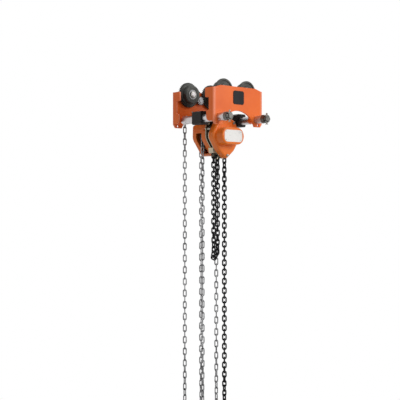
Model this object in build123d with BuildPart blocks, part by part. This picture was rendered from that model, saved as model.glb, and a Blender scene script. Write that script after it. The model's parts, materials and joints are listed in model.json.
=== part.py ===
"""Geared hoist trolley: a beam trolley with a built-in hand chain hoist.

Millimetres, +Z up. X runs along the beam, Y across it. The origin lies on the
beam's centre line, at the height of the flange surface that the wheels roll on.
"""
import os
from math import acos, asin, atan2, cos, degrees, hypot, pi, radians, sin, sqrt, tan

from build123d import *

os.makedirs("parts", exist_ok=True)

# Driving sizes of the trolley
plate_thickness = 8.0
plate_inner = 119.0
plate_outer = plate_inner + plate_thickness
plate_half_length = 135.0
plate_top = 53.0
plate_shoulder = 43.5
plate_bottom = -102.0
fold_radius = 7.5
bar_x = 101.0
bar_z = -72.0
wheel_x = 62.0
tread_radius = 37.0
flange_radius = 46.0
wheel_z = tread_radius
axle_radius = 10.0
running_fit = 0.05
clearance = 0.3

# Driving sizes of the hoist
hoist_y = -12.0
hoist_z = -140.0
arch_radius = 98.0
frame_half_gap = 14.0
frame_plate = 5.0
frame_face = frame_half_gap + frame_plate

# Chains: pitch, nominal wire, inside width and pockets of the wheels
load_pitch, load_wire, load_inside = 19.1, 6.3, 8.0
hand_pitch, hand_wire, hand_inside = 24.5, 5.0, 7.0
sheave_pockets = 5
hoist_wheel_pockets = 5
trolley_wheel_pockets = 6
lift_links = 30
lower_links = 24
chain_twist = -40.0

# Gears
pressure = radians(20)
trolley_module, pinion_teeth, rim_teeth = 2.5, 12, 40
hoist_module, small_teeth, large_teeth = 1.4, 8, 32
pinion_span = trolley_module * (pinion_teeth + rim_teeth) / 2
pinion_z = wheel_z - sqrt(pinion_span**2 - wheel_x**2)
disc_x = hoist_module * (small_teeth + large_teeth) / 2


def side(y, x=0.0, z=0.0):
    """Upright plane across Y with its origin at x, z; an extrusion from it runs towards -Y."""
    return Plane(origin=(x, y, z), x_dir=(1, 0, 0), z_dir=(0, -1, 0))


def axle_plane(x, z, out):
    """Half-section plane of a turned piece: radius first, then distance towards out * Y."""
    return Plane(origin=(x, 0, z), x_dir=(0, 0, 1), z_dir=(-out, 0, 0))


def cross_axis(x, z):
    return Axis((x, 0, z), (0, 1, 0))


def gear_outline(teeth, module, shift, turn, backlash):
    """Closed involute gear outline with the centre of one tooth at the angle turn."""
    pitch = module * teeth / 2
    base = pitch * cos(pressure)
    tip = pitch + module * (0.8 + shift)
    root = pitch - module * (1.15 - shift)
    half = (module * (pi / 2 + 2 * shift * tan(pressure)) - backlash) / (2 * pitch)

    def spread(radius):
        roll = acos(min(1.0, base / max(radius, base)))
        return half + tan(pressure) - pressure - (tan(roll) - roll)

    def point(radius, angle):
        return (radius * cos(angle), radius * sin(angle))

    start = max(root, base)
    middle = (start + tip) / 2
    with BuildLine() as outline:
        for tooth in range(teeth):
            centre = turn + 2 * pi * tooth / teeth
            after = centre + 2 * pi / teeth
            if root < base:
                Line(point(root, centre - spread(start)), point(start, centre - spread(start)))
                Line(point(start, centre + spread(start)), point(root, centre + spread(start)))
            ThreePointArc(
                point(start, centre - spread(start)),
                point(middle, centre - spread(middle)),
                point(tip, centre - spread(tip)),
            )
            ThreePointArc(
                point(tip, centre - spread(tip)), point(tip, centre), point(tip, centre + spread(tip))
            )
            ThreePointArc(
                point(tip, centre + spread(tip)),
                point(middle, centre + spread(middle)),
                point(start, centre + spread(start)),
            )
            ThreePointArc(
                point(root, centre + spread(start)),
                point(root, (centre + after) / 2),
                point(root, after - spread(start)),
            )
    return outline


def facing_turn(tooth_angle, teeth, own_teeth, direction):
    """Angle of a gear's tooth gap that takes the tooth of its partner near direction."""
    step = 2 * pi / teeth
    ahead = (tooth_angle - direction + step / 2) % step - step / 2
    return direction + pi - ahead * teeth / own_teeth


class ChainWheel:
    """Geometry of a chain seated on a pocket wheel, in the wheel's X-Z plane."""

    def __init__(self, pockets, pitch, wire, inside):
        self.pockets, self.pitch, self.wire, self.inside = pockets, pitch, wire, inside
        self.radius = hypot(pitch / sin(pi / 2 / pockets), wire / cos(pi / 2 / pockets)) / 2
        self.flat_half = (pitch + wire) / 2
        self.upright_half = (pitch - wire) / 2
        self.flat_radius = sqrt(self.radius**2 - self.flat_half**2)
        self.upright_radius = sqrt(self.radius**2 - self.upright_half**2)
        self.half_width = inside / 2 + wire

    def pivots(self, x, z):
        """Pivots from the right-hand strand over the top to the left-hand strand."""
        step, lean = 2 * pi / self.pockets, asin(self.flat_half / self.radius)
        angles, turn = [], 0.0
        while turn - lean < pi + step / 2 - 0.01:
            angles += [turn - lean, turn + lean]
            turn += step
        while angles[-2] > pi:
            angles.pop()
        return [(x + self.radius * cos(a), z + self.radius * sin(a)) for a in angles]

    def pocket_planes(self, x, y, z, floor):
        step = 2 * pi / self.pockets
        planes = []
        for k in range(self.pockets):
            out = (cos(k * step), 0, sin(k * step))
            origin = (x + floor * out[0], y, z + floor * out[2])
            planes.append(Plane(origin=origin, x_dir=(-out[2], 0, out[0]), z_dir=out))
        return planes


def make_link(pitch, wire, inside):
    """One welded link, upright in the X-Z plane; the wire leaves a clearance to its neighbours."""
    bend, straight, radius = (inside + wire) / 2, pitch - inside, (wire - clearance) / 2
    with BuildPart() as link:
        with BuildSketch(Plane.XY):
            with Locations((bend, 0), (-bend, 0)):
                Circle(radius)
        extrude(amount=straight / 2, both=True)
        for end in (1, -1):
            with BuildSketch(Plane.XY.offset(end * straight / 2)):
                with Locations((bend, 0)):
                    Circle(radius)
            revolve(axis=Axis((0, 0, end * straight / 2), (0, -end, 0)), revolution_arc=180)
    return link.part


def link_places(pivots, y, first_flat, twists=None):
    """One location per link between neighbouring pivots, flat and upright in turn."""
    places = []
    for i, ((xa, za), (xb, zb)) in enumerate(zip(pivots, pivots[1:])):
        if zb < za or (zb == za and xb < xa):
            xa, za, xb, zb = xb, zb, xa, za
        flat = 90 if (i % 2 == 0) == first_flat else 0
        twist = twists[i] if twists else 0
        lean = degrees(atan2(xb - xa, zb - za))
        places.append(Location(((xa + xb) / 2, y, (za + zb) / 2), (0, lean, flat + twist)))
    return places


def hanging_pivots(wheel, start, finish, count, first_step):
    """Pivots of a loop that hangs from start round a half circle and back up to finish."""
    long_step, short_step = 2 * wheel.flat_half, 2 * wheel.upright_half
    radius = (start[0] - finish[0]) / 2
    centre = (start[0] + finish[0]) / 2

    def path(distance, low):
        fall = start[1] - low
        if distance <= fall:
            return (start[0], start[1] - distance)
        if distance <= fall + pi * radius:
            angle = (distance - fall) / radius
            return (centre + radius * cos(angle), low - radius * sin(angle))
        return (finish[0], low + distance - fall - pi * radius)

    def march(low):
        at, points = 0.0, [start]
        for i in range(count):
            step = short_step if (i % 2 == 0) == (first_step == "short") else long_step
            a, b = at, at + 1.7 * step
            for _ in range(50):
                mid = (a + b) / 2
                x, z = path(mid, low)
                if hypot(x - points[-1][0], z - points[-1][1]) < step:
                    a = mid
                else:
                    b = mid
            at = (a + b) / 2
            points.append(path(at, low))
        return points

    shallow, deep = finish[1] - count * wheel.pitch / 2, finish[1]
    for _ in range(60):
        low = (shallow + deep) / 2
        if march(low)[-1][1] > finish[1]:
            deep = low
        else:
            shallow = low
    points = march(low)
    points[-1] = finish
    return points


def twist_ramp(count, bend_links):
    """Twist of each link of a loop: none on the wheel and in the bottom bend, full between."""
    half, ramp = count / 2, 11
    values = []
    for i in range(count):
        from_end = min(i, count - 1 - i)
        from_bend = max(0.0, abs(i - half) - bend_links / 2)
        values.append(chain_twist * min(1.0, from_end / ramp, from_bend / ramp))
    return values


def strand_twist(count, ramp=9):
    """Twist of each link of a straight strand that is held square at both ends."""
    return [chain_twist * min(1.0, i / ramp, (count - 1 - i) / ramp) for i in range(count)]


# Side plates
arch_end = sqrt(arch_radius**2 - (plate_bottom - hoist_z) ** 2)
arch_mid = radians(62)
lobe_hole, lobe_hole_radius = (110.0, -94.0), 5.5
fold_depth = 25.0
boss_length, boss_radius = 28.0, 15.0
rod_radius = 12.0
rod_hole = rod_radius + 0.25
with BuildPart() as near_plate:
    with BuildSketch(side(-plate_inner)):
        with BuildLine():
            Polyline(
                (0, plate_top),
                (94, plate_top),
                (126, plate_shoulder),
                (plate_half_length, plate_shoulder),
                (plate_half_length, -84),
                (121, plate_bottom),
                (arch_end, plate_bottom),
            )
            ThreePointArc(
                (arch_end, plate_bottom),
                (arch_radius * cos(arch_mid), hoist_z + arch_radius * sin(arch_mid)),
                (0, hoist_z + arch_radius),
            )
            Line((0, hoist_z + arch_radius), (0, plate_top))
        make_face()
        mirror(about=Plane.YZ)
    extrude(amount=plate_thickness)
    for end in (1, -1):
        fold = Plane(origin=(end * plate_half_length, -plate_outer, 0), x_dir=(0, 1, 0), z_dir=(1, 0, 0))
        with BuildSketch(fold) as folded:
            with BuildLine():
                Polyline(
                    (0, plate_shoulder), (47, plate_shoulder), (47, 6), (fold_depth, 6), (fold_depth, -47),
                    (40, -47), (40, -91), (0, -84), (0, plate_shoulder),
                )
            make_face()
            tips = folded.vertices().filter_by(lambda v: v.X > 20)
            fillet(tips.filter_by(lambda v: v.Y > -80), 5)
            fillet(folded.vertices().filter_by(lambda v: v.X > 20 and v.Y < -80), 18)
        extrude(amount=-end * plate_thickness)
    folds = near_plate.edges().filter_by(Axis.Z)
    fillet(
        folds.filter_by(
            lambda e: abs(abs(e.center().X) - plate_half_length) < 0.1
            and abs(e.center().Y + plate_outer) < 0.1
        ),
        fold_radius,
    )
    with BuildSketch(side(0)):
        with Locations((bar_x, bar_z), (-bar_x, bar_z)):
            Circle(rod_hole)
        with Locations(lobe_hole, (-lobe_hole[0], lobe_hole[1])):
            Circle(lobe_hole_radius)
    extrude(amount=plate_outer + 5, mode=Mode.SUBTRACT)
    lug_cut = Plane.XZ.offset(plate_outer - fold_depth)
    near_lugs = near_plate.part.split(lug_cut, Keep.BOTTOM)
    split(bisect_by=lug_cut, keep=Keep.TOP)

bush_radius = 12.0
housing_bolt_circle = 25.0
guide_bolt_x, guide_bolt_z = 34.0, -30.0
with BuildPart() as far_plate:
    add(near_plate.part.mirror(Plane.XZ))
    with BuildSketch(side(plate_outer + 5)):
        with Locations((0, pinion_z)):
            Circle(bush_radius)
            with PolarLocations(housing_bolt_circle, 3, 90):
                Circle(3.2)
        with Locations((guide_bolt_x, guide_bolt_z), (-guide_bolt_x, guide_bolt_z)):
            Circle(3.2)
    extrude(amount=20, mode=Mode.SUBTRACT)

# Lugs welded to the folded ends, and the tubes that carry the tie bars
with BuildPart() as plate_lugs:
    add(near_lugs)
    mirror(about=Plane.XZ)
with BuildPart() as bar_bosses:
    for y in (plate_inner, -plate_inner + boss_length):
        with BuildSketch(side(y)):
            with Locations((bar_x, bar_z), (-bar_x, bar_z)):
                Circle(boss_radius)
                Circle(rod_hole, mode=Mode.SUBTRACT)
        extrude(amount=boss_length)

badge_thickness = 1.2
with BuildPart() as plate_badge:
    with BuildSketch(side(-plate_outer)):
        with Locations((0, 10)):
            RectangleRounded(58, 54, 9)
    extrude(amount=badge_thickness)

# Track wheels on their axles
bearing_radius = 20.0
wheel_in, wheel_out = 79.0, 114.5
flange_in = 105.0
shoulder_out = plate_inner
wheel_sides = [(-wheel_x, -1), (wheel_x, -1), (-wheel_x, 1), (wheel_x, 1)]


def wheel_section(rim):
    with BuildLine() as section:
        Polyline(
            (bearing_radius + running_fit, wheel_in + 1),
            (tread_radius - 2, wheel_in + 1),
            (tread_radius, wheel_in + 3),
            (tread_radius, flange_in - 2),
            (tread_radius + 2, flange_in),
            (rim - 1, flange_in),
            (rim, flange_in + 1),
            (rim, wheel_out - 2),
            (rim - 2, wheel_out),
            (rim - 8, wheel_out),
            (rim - 10, wheel_out - 3),
            (bearing_radius + 6, wheel_out - 3),
            (bearing_radius + 5, wheel_out),
            (bearing_radius + running_fit, wheel_out),
            close=True,
        )
    return section


with BuildPart() as near_wheel_left:
    with BuildSketch(axle_plane(-wheel_x, wheel_z, -1)):
        add(wheel_section(flange_radius))
        make_face()
    revolve(axis=cross_axis(-wheel_x, wheel_z))
with BuildPart() as near_wheel_right:
    with BuildSketch(axle_plane(wheel_x, wheel_z, -1)):
        add(wheel_section(flange_radius))
        make_face()
    revolve(axis=cross_axis(wheel_x, wheel_z))

pinion_to_left = atan2(wheel_z - pinion_z, -wheel_x)
pinion_to_right = atan2(wheel_z - pinion_z, wheel_x)
pinion_turn = pinion_to_left
rim_shift, trolley_backlash = 0.3, 0.3
rim_root = trolley_module * (rim_teeth / 2 - 1.15 - rim_shift)
left_gap = facing_turn(pinion_turn, pinion_teeth, rim_teeth, pinion_to_left)
right_gap = facing_turn(pinion_turn, pinion_teeth, rim_teeth, pinion_to_right)
with BuildPart() as drive_wheel_left:
    with BuildSketch(axle_plane(-wheel_x, wheel_z, 1)):
        add(wheel_section(rim_root))
        make_face()
    revolve(axis=cross_axis(-wheel_x, wheel_z))
    with BuildSketch(side(wheel_out, -wheel_x, wheel_z)):
        add(gear_outline(rim_teeth, trolley_module, -rim_shift, left_gap + pi / rim_teeth, trolley_backlash))
        make_face()
        Circle(rim_root - 6, mode=Mode.SUBTRACT)
    extrude(amount=wheel_out - flange_in)
with BuildPart() as drive_wheel_right:
    with BuildSketch(axle_plane(wheel_x, wheel_z, 1)):
        add(wheel_section(rim_root))
        make_face()
    revolve(axis=cross_axis(wheel_x, wheel_z))
    with BuildSketch(side(wheel_out, wheel_x, wheel_z)):
        add(gear_outline(rim_teeth, trolley_module, -rim_shift, right_gap + pi / rim_teeth, trolley_backlash))
        make_face()
        Circle(rim_root - 6, mode=Mode.SUBTRACT)
    extrude(amount=wheel_out - flange_in)

with BuildPart() as wheel_axles:
    for x, out in wheel_sides:
        with BuildSketch(axle_plane(x, wheel_z, out)):
            with BuildLine():
                Polyline(
                    (0, 75), (axle_radius - 1, 75), (axle_radius, 76),
                    (axle_radius, 77), (axle_radius - 1, 77),
                    (axle_radius - 1, 78.6), (axle_radius, 78.6), (axle_radius, 113), (17, 113),
                    (17, shoulder_out), (0, shoulder_out), close=True,
                )
            make_face()
        revolve(axis=cross_axis(x, wheel_z))
with BuildPart() as axle_circlips:
    for x, out in wheel_sides:
        with BuildSketch(side(out * 77.8 + 0.7)):
            with Locations((x, wheel_z)):
                Circle(axle_radius + 3)
                Circle(axle_radius - 1, mode=Mode.SUBTRACT)
                with Locations((0, -axle_radius - 1)):
                    Rectangle(3, 6, mode=Mode.SUBTRACT)
        extrude(amount=1.4)
with BuildPart() as wheel_bearings:
    for x, out in wheel_sides:
        with BuildSketch(axle_plane(x, wheel_z, out)):
            with BuildLine():
                Polyline(
                    (axle_radius, 81), (14.5, 81), (14.5, 82), (16.5, 82), (16.5, 81), (bearing_radius, 81),
                    (bearing_radius, 112.5), (axle_radius, 112.5), close=True,
                )
            make_face()
        revolve(axis=cross_axis(x, wheel_z))

# Trolley drive
hand_wheel_y = 155.0
shaft_radius = 9.0
housing_end = 140.0
pinion_in, pinion_out = 103.5, 116.0
hub_half = 12.5
nut_seat = hand_wheel_y + hub_half
trolley_wheel = ChainWheel(trolley_wheel_pockets, hand_pitch, hand_wire, hand_inside)
with BuildPart() as trolley_pinion_shaft:
    with BuildSketch(side(pinion_out, 0, pinion_z)):
        add(gear_outline(pinion_teeth, trolley_module, rim_shift, pinion_turn, trolley_backlash))
        make_face()
    extrude(amount=pinion_out - pinion_in)
    with BuildSketch(axle_plane(0, pinion_z, 1)):
        with BuildLine():
            Polyline(
                (0, pinion_in - 2), (shaft_radius - 1, pinion_in - 2), (shaft_radius, pinion_in - 1),
                (shaft_radius, nut_seat - 1), (6, nut_seat), (6, nut_seat + 12), (5, nut_seat + 13),
                (0, nut_seat + 13), close=True,
            )
        make_face()
    revolve(axis=cross_axis(0, pinion_z))
with BuildPart() as pinion_bush:
    with BuildSketch(side(housing_end)):
        with Locations((0, pinion_z)):
            Circle(bush_radius)
            Circle(shaft_radius + running_fit, mode=Mode.SUBTRACT)
    extrude(amount=housing_end - plate_inner)
with BuildPart() as pinion_housing:
    with BuildSketch(axle_plane(0, pinion_z, 1)):
        with BuildLine():
            Polyline(
                (bush_radius, plate_outer), (32, plate_outer), (32, plate_outer + 5), (31, plate_outer + 6),
                (19, plate_outer + 6), (17, plate_outer + 8), (17, housing_end - 1), (16, housing_end),
                (bush_radius, housing_end), close=True,
            )
        make_face()
    revolve(axis=cross_axis(0, pinion_z))
    with BuildSketch(side(plate_outer + 6)):
        with Locations((0, pinion_z)):
            with PolarLocations(housing_bolt_circle, 3, 90):
                Circle(3.2)
    extrude(amount=6, mode=Mode.SUBTRACT)
guide_sheet = 3.0
guide_shelf_z = -58.0
guide_reach = 178.0
with BuildPart() as trolley_chain_guide:
    with BuildSketch(side(plate_outer + guide_sheet)):
        with BuildLine():
            Polyline(
                (-66, guide_shelf_z), (66, guide_shelf_z), (66, -46),
                (46, -22), (-46, -22), (-66, -46), close=True
            )
        make_face()
        with Locations((guide_bolt_x, guide_bolt_z), (-guide_bolt_x, guide_bolt_z)):
            Circle(3.2, mode=Mode.SUBTRACT)
    extrude(amount=guide_sheet)
    with BuildSketch(Plane.XY.offset(guide_shelf_z)):
        with Locations((0, (plate_outer + guide_reach) / 2)):
            RectangleRounded(132, guide_reach - plate_outer, 8)
        with Locations((0, plate_outer + 5)):
            Rectangle(132, 10)
        with Locations((trolley_wheel.flat_radius, hand_wheel_y), (-trolley_wheel.flat_radius, hand_wheel_y)):
            RectangleRounded(26, 26, 9, mode=Mode.SUBTRACT)
    extrude(amount=guide_sheet)
with BuildPart() as trolley_plate_bolts:
    for face, spots in (
        (plate_outer + 6, [(housing_bolt_circle * cos(a), pinion_z + housing_bolt_circle * sin(a))
                           for a in (radians(90), radians(210), radians(330))]),
        (plate_outer + guide_sheet, [(guide_bolt_x, guide_bolt_z), (-guide_bolt_x, guide_bolt_z)]),
    ):
        with BuildSketch(side(face + 4)):
            with Locations(*spots):
                RegularPolygon(5.2, 6)
        extrude(amount=4)
        with BuildSketch(side(face)):
            with Locations(*spots):
                Circle(3)
        extrude(amount=face - plate_inner - 0.5)


def pocket_profile(wheel, y, rim_radius, rim_half, hub_radius, hub_half, bore, web_half):
    """Half-section of a chain wheel: hub, web, grooved rim."""
    groove = wheel.upright_radius - wheel.half_width - 1.4
    slot = wheel.wire / 2 + 0.7
    inner = groove - 4.5
    with BuildLine() as section:
        Polyline(
            (bore, y - hub_half), (hub_radius, y - hub_half),
            (hub_radius, y - web_half), (inner, y - web_half),
            (inner, y - rim_half), (rim_radius - 1, y - rim_half), (rim_radius, y - rim_half + 1),
            (rim_radius, y - slot), (groove, y - slot), (groove, y + slot), (rim_radius, y + slot),
            (rim_radius, y + rim_half - 1), (rim_radius - 1, y + rim_half), (inner, y + rim_half),
            (inner, y + web_half), (hub_radius, y + web_half),
            (hub_radius, y + hub_half), (bore, y + hub_half),
            close=True,
        )
    return section


def cut_pockets(wheel, x, y, z):
    """Cuts one seat per flat link into the wheel of the running block."""
    floor = wheel.flat_radius - wheel.wire / 2 - 0.15
    with BuildSketch(*wheel.pocket_planes(x, y, z, floor)) as seats:
        SlotOverall(2 * wheel.flat_half + wheel.wire + 1, 2 * wheel.half_width + 0.8)
    extrude(seats.sketch, amount=25, mode=Mode.SUBTRACT)


with BuildPart() as trolley_hand_wheel:
    with BuildSketch(axle_plane(0, pinion_z, 1)):
        add(pocket_profile(trolley_wheel, hand_wheel_y, 52, 11.5, 18, hub_half, shaft_radius, 4))
        make_face()
    revolve(axis=cross_axis(0, pinion_z))
    cut_pockets(trolley_wheel, 0, hand_wheel_y, pinion_z)
    with BuildSketch(side(hand_wheel_y + 10)):
        with Locations((0, pinion_z)):
            with PolarLocations(25, 6, 30):
                Circle(4.5)
    extrude(amount=20, mode=Mode.SUBTRACT)
with BuildPart() as trolley_wheel_nut:
    with BuildSketch(side(nut_seat + 9)):
        with Locations((0, pinion_z)):
            RegularPolygon(11, 6)
            Circle(6, mode=Mode.SUBTRACT)
    extrude(amount=9)

# Tie bars with their spacers, nuts and pins
sleeve_radius = 16.0
hanger_half = 27.0
hanger_near = hoist_y - hanger_half
hanger_far = hoist_y + hanger_half
boss_face = plate_inner - boss_length
washer_thickness = 8.0
outer_sleeve = 30.0
nut_face = plate_outer + outer_sleeve + washer_thickness
nut_hex, nut_height = 16.0, 24.0
pin_y = nut_face + 20.0
rod_end = nut_face + nut_height + 4
bars = [(bar_x, bar_z), (-bar_x, bar_z)]
with BuildPart() as tie_rods:
    with BuildSketch(side(plate_outer + 15)):
        with Locations(*bars):
            RegularPolygon(18.5, 6)
    extrude(amount=15)
    with BuildSketch(side(plate_outer)):
        with Locations(*bars):
            Circle(rod_radius)
    extrude(amount=plate_outer + rod_end)
    rims = tie_rods.edges().filter_by(lambda e: abs(e.center().Y + rod_end) < 0.1)
    chamfer(rims, 1.5)
    with BuildSketch(Plane.XY.offset(bar_z - 20)):
        with Locations((bar_x, -pin_y), (-bar_x, -pin_y)):
            Circle(2.4)
    extrude(amount=40, mode=Mode.SUBTRACT)


def spacer_rings(y_far, length, radius):
    with BuildSketch(side(y_far)) as rings:
        with Locations(*bars):
            Circle(radius)
            Circle(rod_hole, mode=Mode.SUBTRACT)
    extrude(rings.sketch, amount=length)


far_stack = boss_face - hanger_far
near_stack = boss_face + hanger_near
inner_sleeve = near_stack
washer_count = 3
far_washer = (far_stack - inner_sleeve) / washer_count
with BuildPart() as inner_sleeves:
    spacer_rings(hanger_near, inner_sleeve, sleeve_radius)
    spacer_rings(hanger_far + inner_sleeve, inner_sleeve, sleeve_radius)
with BuildPart() as outer_sleeves:
    spacer_rings(-plate_outer, outer_sleeve, sleeve_radius)
with BuildPart() as spacer_washers:
    for k in range(washer_count):
        spacer_rings(boss_face - k * far_washer - 0.15, far_washer - 0.3, sleeve_radius + 0.6)
    spacer_rings(-plate_outer - outer_sleeve, washer_thickness, sleeve_radius + 1.5)
with BuildPart() as castle_nuts:
    with BuildSketch(side(-nut_face)):
        with Locations(*bars):
            RegularPolygon(nut_hex * 2 / sqrt(3), 6)
    extrude(amount=15)
    with BuildSketch(side(-nut_face - 15)):
        with Locations(*bars):
            Circle(nut_hex - 0.5)
    extrude(amount=nut_height - 15)
    with BuildSketch(side(-nut_face)):
        with Locations(*bars):
            Circle(rod_radius)
    extrude(amount=nut_height, mode=Mode.SUBTRACT)
    with BuildSketch(side(-nut_face - 16)):
        for x, z in bars:
            with Locations((x, z)):
                with PolarLocations(0, 3, 90, 180):
                    Rectangle(2 * nut_hex + 6, 5)
    extrude(amount=nut_height, mode=Mode.SUBTRACT)
with BuildPart() as split_pins:
    for x, z in bars:
        with BuildSketch(Plane.XY.offset(z - 21)):
            with Locations((x, -pin_y)):
                Circle(2.1)
        extrude(amount=38.5)
        with BuildSketch(Plane.YZ.offset(x + 1.8)):
            with Locations((-pin_y, z + 19.5)):
                Circle(3.8)
                Circle(1.7, mode=Mode.SUBTRACT)
        extrude(amount=-3.6)
        with BuildSketch(Plane.YZ.offset(x + 1.5)):
            with BuildLine():
                Polyline(
                    (-pin_y - 2, z - 18), (-pin_y + 2, z - 18),
                    (-pin_y + 6.5, z - 22), (-pin_y + 5.2, z - 23.5),
                    (-pin_y, z - 20), (-pin_y - 5.2, z - 23.5), (-pin_y - 6.5, z - 22), close=True,
                )
            make_face()
        extrude(amount=-3)

# Suspension hanger
hanger_mid_top, hanger_mid_bottom = -51.0, -64.0
tongue_bottom = -93.0
hanger_end = -96.0
hanger_bolts_at = [(20.0, -80.0), (-20.0, -80.0)]
hanger_bolt_radius, hanger_bolt_hex = 5.0, 7.5
with BuildPart() as suspension_hanger:
    with BuildSketch(side(hanger_far)) as bridge:
        with BuildLine():
            Polyline(
                (0, hanger_mid_top), (68, hanger_mid_top), (82, -43), (123, -43), (123, hanger_end),
                (83, hanger_end), (74, hanger_mid_bottom), (0, hanger_mid_bottom), close=True,
            )
        make_face()
        mirror(about=Plane.YZ)
        fillet(bridge.vertices().filter_by(lambda v: abs(v.X) > 100), 7)
        fillet(bridge.vertices().filter_by(lambda v: 60 < abs(v.X) < 100), 5)
    extrude(amount=2 * hanger_half)
    with BuildSketch(side(hoist_y + frame_half_gap)) as tongue:
        with Locations((0, (hanger_mid_bottom + tongue_bottom) / 2 + 2)):
            Rectangle(72, hanger_mid_bottom - tongue_bottom + 4)
        fillet(tongue.vertices().group_by(Axis.Y)[0], 10)
    extrude(amount=2 * frame_half_gap)
    with BuildSketch(side(hanger_far)):
        with Locations(*bars):
            Circle(rod_hole)
        with Locations(*hanger_bolts_at):
            Circle(hanger_bolt_radius + clearance)
    extrude(amount=2 * hanger_half, mode=Mode.SUBTRACT)

# Hoist frame plates
bearing_outer = 22.0
journal_radius = 17.0
stays = [(50.0, -108.0), (-50.0, -108.0), (-1.0, -203.0)]
tail_pin_at = (-9.2, -220.0)
cover_screws_at = [(35.0, -86.0), (-35.0, -86.0), (0.0, -217.0)]
stay_tail = 5.0


pear_circles = ((25, -96, 27), (42, -137, 32), (21, -181, 25))


def pear_outline(trim, foot_z=-217, foot_radius=11):
    """Outline of the gear side: flat top, full cheeks and a narrow foot."""
    with BuildSketch(Plane.XY) as pear:
        with BuildLine():
            for x, z, radius in pear_circles + ((0, foot_z, foot_radius),):
                CenterArc((x, z), radius - trim, 0, 360)
                CenterArc((-x, z), radius - trim, 0, 360)
        make_hull()
    return pear.sketch


def cover_outline(trim):
    """Outline of the hand-wheel side."""
    with BuildSketch(Plane.XY) as shape:
        with BuildLine():
            for x, z, radius in (
                (49, -99, 10), (-49, -99, 10), (22, -136, 38), (-22, -136, 38), (0, -197, 20)
            ):
                CenterArc((x, z), radius - trim, 0, 360)
        make_hull()
    return shape.sketch


def frame_holes():
    with Locations((0, hoist_z)):
        Circle(bearing_outer, mode=Mode.SUBTRACT)
    with Locations(*stays):
        Circle(stay_tail, mode=Mode.SUBTRACT)
    with Locations(tail_pin_at):
        Circle(3.0, mode=Mode.SUBTRACT)
    with Locations(*hanger_bolts_at):
        Circle(hanger_bolt_radius + clearance, mode=Mode.SUBTRACT)


disc_journal = 4.0
with BuildPart() as gear_side_plate:
    with BuildSketch(side(hoist_y - frame_half_gap)):
        add(pear_outline(1.5, -214, 17))
        frame_holes()
        with Locations(*cover_screws_at):
            Circle(3, mode=Mode.SUBTRACT)
        with Locations((disc_x, hoist_z), (-disc_x, hoist_z)):
            Circle(disc_journal + running_fit, mode=Mode.SUBTRACT)
    extrude(amount=frame_plate)
cover_studs_at = [(36.0, -98.5), (-36.0, -98.5), (0.0, -190.5)]
pawl_at = (-8.0, -100.0)
with BuildPart() as wheel_side_plate:
    with BuildSketch(side(hoist_y + frame_face)):
        add(cover_outline(1.0))
        with Locations((0, -90)):
            RectangleRounded(84, 38, 8)
        with Locations((0, -211)):
            RectangleRounded(44, 40, 16)
        with Locations(*stays[:2]):
            Circle(11)
        frame_holes()
        with Locations(*cover_studs_at, pawl_at):
            Circle(4, mode=Mode.SUBTRACT)
    extrude(amount=frame_plate)
with BuildPart() as stay_pins:
    with BuildSketch(side(hoist_y + frame_half_gap)):
        with Locations(*stays):
            Circle(6.5)
    extrude(amount=2 * frame_half_gap)
    with BuildSketch(side(hoist_y + frame_face)):
        with Locations(*stays):
            Circle(stay_tail)
    extrude(amount=2 * frame_face)
with BuildPart() as tail_pin:
    with BuildSketch(side(hoist_y + frame_face + 3)):
        with Locations(tail_pin_at):
            Circle(3.0)
    extrude(amount=2 * frame_face + 3)
    with BuildSketch(side(hoist_y + frame_face + 3)):
        with Locations(tail_pin_at):
            Circle(4.2)
    extrude(amount=3)
with BuildPart() as hanger_bolts:
    with BuildSketch(side(hoist_y + frame_face + 11)):
        with Locations(*hanger_bolts_at):
            Circle(hanger_bolt_radius)
    extrude(amount=2 * frame_face + 11)
    for y, thick in ((hoist_y - frame_face, 7), (hoist_y + frame_face + 9, 9)):
        with BuildSketch(side(y)):
            with Locations(*hanger_bolts_at):
                RegularPolygon(hanger_bolt_hex, 6)
        extrude(amount=thick)

# Load sheave, gear train and drive shaft
sheave = ChainWheel(sheave_pockets, load_pitch, load_wire, load_inside)
drive_radius = 7.5
load_gear_back, load_gear_front = 26.0, 42.0
large_back, large_front = 44.0, 56.0
bearing_back, bearing_front = 14.6, 23.6
hoist_shift, hoist_backlash = 0.53, 0.2
spline_radius = 12.0
with BuildPart() as load_sheave:
    with BuildSketch(axle_plane(0, hoist_z, 1)):
        groove = sheave.upright_radius - sheave.half_width - 1.4
        with BuildLine():
            Polyline(
                (drive_radius + running_fit, hoist_y - load_gear_front),
                (spline_radius, hoist_y - load_gear_front),
                (spline_radius, hoist_y - 25), (journal_radius, hoist_y - 25),
                (journal_radius, hoist_y - 13.2),
                (33.5, hoist_y - 13.2), (35.5, hoist_y - 11.5), (35.5, hoist_y - 4), (groove, hoist_y - 4),
                (groove, hoist_y + 4), (35.5, hoist_y + 4), (35.5, hoist_y + 11.5), (33.5, hoist_y + 13.2),
                (journal_radius, hoist_y + 13.2), (journal_radius, hoist_y + 25),
                (drive_radius + running_fit, hoist_y + 25), close=True,
            )
        make_face()
    revolve(axis=cross_axis(0, hoist_z))
    cut_pockets(sheave, 0, hoist_y, hoist_z)
with BuildPart() as sheave_bearings:
    for y in (hoist_y + bearing_front, hoist_y - bearing_back):
        with BuildSketch(side(y)):
            with Locations((0, hoist_z)):
                Circle(bearing_outer)
                Circle(journal_radius + running_fit, mode=Mode.SUBTRACT)
        extrude(amount=bearing_front - bearing_back)
with BuildPart() as load_gear:
    with BuildSketch(side(hoist_y - load_gear_back, 0, hoist_z)):
        add(gear_outline(large_teeth, hoist_module, -hoist_shift, pi / large_teeth, hoist_backlash))
        make_face()
        Circle(spline_radius, mode=Mode.SUBTRACT)
    extrude(amount=load_gear_front - load_gear_back)


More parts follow.
